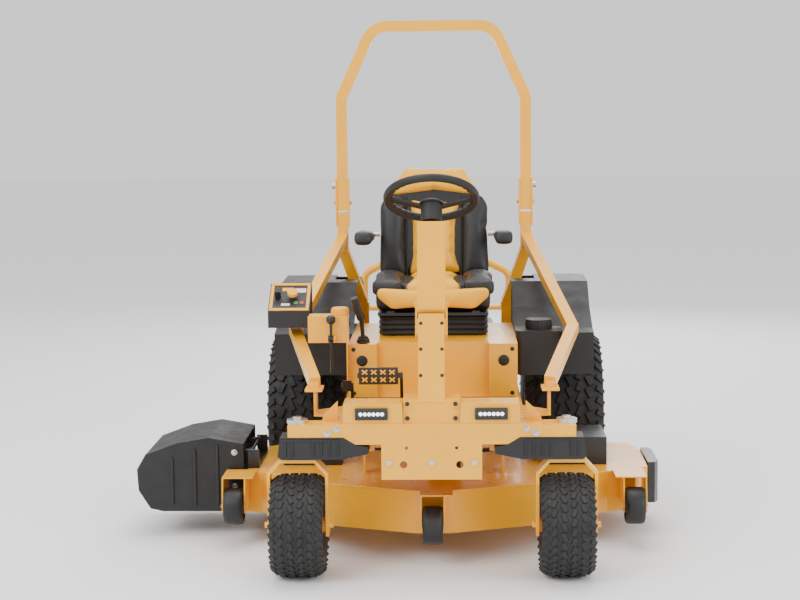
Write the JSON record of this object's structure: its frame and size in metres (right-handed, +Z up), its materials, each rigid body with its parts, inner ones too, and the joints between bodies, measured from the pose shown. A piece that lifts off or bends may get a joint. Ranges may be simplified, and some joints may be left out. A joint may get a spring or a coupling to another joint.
{
  "type": "riding lawn mower",
  "caption": "Zero-turn riding mower with steering wheel, fabricated side-discharge deck, suspension seat, folding roll bar and caster front wheels.",
  "frame": {"origin": "middle of the footprint box, on the ground under the tyres", "axes": "+Z up, front towards -Y, operator left towards +X, discharge chute towards -X"},
  "size_m": [1.835, 2.067, 1.82],
  "materials": {
    "yellow_paint": "gloss powder coat",
    "yellow_plastic": "satin",
    "black_plastic": "fine grain",
    "black_rubber_plastic": "satin",
    "black_paint": "satin powder coat",
    "tyre": "matt",
    "rim_paint": "gloss",
    "zinc": "bright zinc",
    "muffler_steel": "heat dulled",
    "cast_aluminium": "as cast",
    "blade_steel": "ground edge",
    "cast_iron": "painted black",
    "belt_rubber": "matt",
    "lamp_housing": "gloss",
    "seat_vinyl": "grained vinyl"
  },
  "bodies": {
    "chassis": {"main_frame": "yellow_paint", "front_beam": "yellow_paint", "foot_platform": "yellow_paint", "headlights": "lamp_housing", "seat_box": "yellow_paint", "column_base": "yellow_paint", "fender_right": "black_plastic", "fender_left": "black_plastic", "fuel_tank": "black_plastic", "control_bracket": "yellow_paint", "control_box": "black_plastic", "rops_leg_right": "yellow_paint", "rops_leg_left": "yellow_paint", "engine_guard": "yellow_paint", "engine_block": "cast_aluminium", "engine_shroud": "black_plastic", "air_cleaner": "black_plastic", "muffler": "muffler_steel", "transaxles": "cast_aluminium", "caster_covers": "black_plastic", "frame_hardware": "zinc", "seat_suspension": "black_plastic"},
    "tilt_column": {"steering_column": "yellow_paint"},
    "hand_wheel": {"steering_wheel": "black_rubber_plastic"},
    "deck": {"deck_shell": "yellow_paint", "deck_fittings": "black_paint", "spindle_housings": "cast_iron", "belt_covers": "black_paint", "deck_belt": "belt_rubber"},
    "discharge_chute": {"chute": "black_rubber_plastic"},
    "roll_hoop": {"rops_hoop": "yellow_paint"},
    "seat_carrier": {"seat_pan": "black_paint"},
    "seat": {"seat_cushion": "seat_vinyl"},
    "backrest": {"seat_backrest": "seat_vinyl"},
    "forward_pedal_body": {"forward_pedal": "black_paint"},
    "reverse_pedal_body": {"reverse_pedal": "black_paint"},
    "brake_lever_body": {"brake_lever": "black_paint"},
    "lift_lever_body": {"lift_lever": "black_paint"},
    "height_dial_body": {"height_dial": "yellow_plastic"},
    "pto_knob_body": {"pto_knob": "yellow_plastic"},
    "ignition_key_body": {"ignition_key": "black_plastic"},
    "fuel_cap_body": {"fuel_cap": "black_plastic"},
    "caster_right": {"caster_fork_right": "yellow_paint"},
    "front_wheel_right": {"front_tyre_right": "tyre", "front_rim_right": "rim_paint"},
    "rear_wheel_right": {"rear_tyre_right": "tyre", "rear_rim_right": "rim_paint"},
    "arm_right": {"armrest_right": "seat_vinyl"},
    "caster_left": {"caster_fork_left": "yellow_paint"},
    "front_wheel_left": {"front_tyre_left": "tyre", "front_rim_left": "rim_paint"},
    "rear_wheel_left": {"rear_tyre_left": "tyre", "rear_rim_left": "rim_paint"},
    "arm_left": {"armrest_left": "seat_vinyl"},
    "blade_right": {"spindle_right": "blade_steel"},
    "blade_centre": {"spindle_centre": "blade_steel"},
    "blade_left": {"spindle_left": "blade_steel"},
    "gauge_right": {"gauge_wheel_right": "black_rubber_plastic"},
    "gauge_centre": {"gauge_wheel_centre": "black_rubber_plastic"},
    "gauge_left": {"gauge_wheel_left": "black_rubber_plastic"}
  },
  "joints": [
    {"name": "steering_column_tilt", "type": "hinge", "parent": "chassis", "child": "tilt_column", "pos_m": [0.1275, -0.68717, 0.85397], "axis": [1, 0, 0], "range_deg": [-8, 12]},
    {"name": "steering_wheel_turn", "type": "hinge", "parent": "tilt_column", "child": "hand_wheel", "pos_m": [0.1275, -0.50967, 1.16141], "axis": [0, 0.5, 0.866], "range_deg": [-225, 225]},
    {"name": "caster_right_steer", "type": "hinge", "parent": "chassis", "child": "caster_right", "pos_m": [-0.3005, -0.8665, 0.4], "axis": [0, 0, 1], "range_deg": [-75, 75]},
    {"name": "front_wheel_right_spin", "type": "hinge", "parent": "caster_right", "child": "front_wheel_right", "pos_m": [-0.3005, -0.8665, 0.167], "axis": [1, 0, 0], "continuous": true},
    {"name": "rear_wheel_right_spin", "type": "hinge", "parent": "chassis", "child": "rear_wheel_right", "pos_m": [-0.3635, 0.4235, 0.305], "axis": [1, 0, 0], "continuous": true},
    {"name": "armrest_right_fold", "type": "hinge", "parent": "backrest", "child": "arm_right", "pos_m": [-0.1225, 0.1935, 1.02], "axis": [1, 0, 0], "range_deg": [-95, 0]},
    {"name": "caster_left_steer", "type": "hinge", "parent": "chassis", "child": "caster_left", "pos_m": [0.5555, -0.8665, 0.4], "axis": [0, 0, 1], "range_deg": [-75, 75]},
    {"name": "front_wheel_left_spin", "type": "hinge", "parent": "caster_left", "child": "front_wheel_left", "pos_m": [0.5555, -0.8665, 0.167], "axis": [1, 0, 0], "continuous": true},
    {"name": "rear_wheel_left_spin", "type": "hinge", "parent": "chassis", "child": "rear_wheel_left", "pos_m": [0.6185, 0.4235, 0.305], "axis": [1, 0, 0], "continuous": true},
    {"name": "armrest_left_fold", "type": "hinge", "parent": "backrest", "child": "arm_left", "pos_m": [0.3775, 0.1935, 1.02], "axis": [1, 0, 0], "range_deg": [-95, 0]},
    {"name": "deck_lift", "type": "slide", "parent": "chassis", "child": "deck", "axis": [0, 0, 1], "range_m": [-0.075, 0]},
    {"name": "lift_lever_swing", "type": "hinge", "parent": "chassis", "child": "lift_lever_body", "pos_m": [-0.1135, -0.3865, 0.6], "axis": [1, 0, 0], "range_deg": [-36, 1]},
    {"name": "blade_right_spin", "type": "hinge", "parent": "deck", "child": "blade_right", "pos_m": [-0.2855, -0.1665, 0.118], "axis": [0, 0, 1], "continuous": true},
    {"name": "blade_centre_spin", "type": "hinge", "parent": "deck", "child": "blade_centre", "pos_m": [0.1645, -0.3465, 0.118], "axis": [0, 0, 1], "continuous": true},
    {"name": "blade_left_spin", "type": "hinge", "parent": "deck", "child": "blade_left", "pos_m": [0.6145, -0.1665, 0.118], "axis": [0, 0, 1], "continuous": true},
    {"name": "gauge_right_spin", "type": "hinge", "parent": "deck", "child": "gauge_right", "pos_m": [-0.5575, -0.5015, 0.14], "axis": [1, 0, 0], "continuous": true},
    {"name": "gauge_centre_spin", "type": "hinge", "parent": "deck", "child": "gauge_centre", "pos_m": [0.1275, -0.7705, 0.14], "axis": [1, 0, 0], "continuous": true},
    {"name": "gauge_left_spin", "type": "hinge", "parent": "deck", "child": "gauge_left", "pos_m": [0.8125, -0.5015, 0.14], "axis": [1, 0, 0], "continuous": true},
    {"name": "chute_lift", "type": "hinge", "parent": "deck", "child": "discharge_chute", "pos_m": [-0.5185, -0.3365, 0.292], "axis": [0, 1, 0], "range_deg": [0, 80], "stiffness_Nm_per_rad": 4, "springref_deg": -11.46},
    {"name": "seat_suspension_travel", "type": "slide", "parent": "chassis", "child": "seat_carrier", "axis": [0, 0, 1], "range_m": [-0.06, 0], "stiffness_N_per_m": 9000, "springref_m": 0.07, "deforming": ["seat_suspension"]},
    {"name": "seat_slide", "type": "slide", "parent": "seat_carrier", "child": "seat", "axis": [0, 1, 0], "range_m": [-0.075, 0.05]},
    {"name": "backrest_recline", "type": "hinge", "parent": "seat", "child": "backrest", "pos_m": [0.1275, 0.1755, 0.842], "axis": [1, 0, 0], "range_deg": [-12, 8]},
    {"name": "roll_hoop_fold", "type": "hinge", "parent": "chassis", "child": "roll_hoop", "pos_m": [0.1275, 0.2615, 1.138], "axis": [1, 0, 0], "range_deg": [-105, 0]},
    {"name": "forward_pedal_press", "type": "hinge", "parent": "chassis", "child": "forward_pedal_body", "pos_m": [0.0295, -0.7265, 0.526], "axis": [1, 0, 0], "range_deg": [0, 18], "stiffness_Nm_per_rad": 8, "springref_deg": -11.46},
    {"name": "reverse_pedal_press", "type": "hinge", "parent": "chassis", "child": "reverse_pedal_body", "pos_m": [-0.1345, -0.6765, 0.526], "axis": [1, 0, 0], "range_deg": [0, 15], "stiffness_Nm_per_rad": 8, "springref_deg": -11.46},
    {"name": "brake_lever_swing", "type": "hinge", "parent": "chassis", "child": "brake_lever_body", "pos_m": [-0.2175, -0.4845, 0.716], "axis": [1, 0, 0], "range_deg": [0, 30]},
    {"name": "height_dial_turn", "type": "hinge", "parent": "chassis", "child": "height_dial_body", "pos_m": [-0.1905, -0.4145, 0.79], "axis": [0, 0, 1], "range_deg": [0, 330]},
    {"name": "pto_knob_pull", "type": "slide", "parent": "chassis", "child": "pto_knob_body", "axis": [0, -0.5671, 0.8236], "range_m": [0, 0.012]},
    {"name": "ignition_key_turn", "type": "hinge", "parent": "chassis", "child": "ignition_key_body", "pos_m": [-0.412, -0.3275, 0.842], "axis": [0, -0.5671, 0.8236], "range_deg": [-90, 0]},
    {"name": "fuel_cap_unscrew", "type": "hinge", "parent": "chassis", "child": "fuel_cap_body", "pos_m": [0.4995, -0.2345, 0.715], "axis": [0, 0, 1], "continuous": true}
  ],
  "couplings": [
    {"joint": "steering_wheel_turn", "follows": "caster_left_steer", "ratio": 3},
    {"joint": "caster_right_steer", "follows": "caster_left_steer", "ratio": 1},
    {"joint": "lift_lever_swing", "follows": "deck_lift", "rad_per_m": 8.1449},
    {"joint": "blade_right_spin", "follows": "blade_centre_spin", "ratio": 1},
    {"joint": "blade_left_spin", "follows": "blade_centre_spin", "ratio": 1}
  ]
}
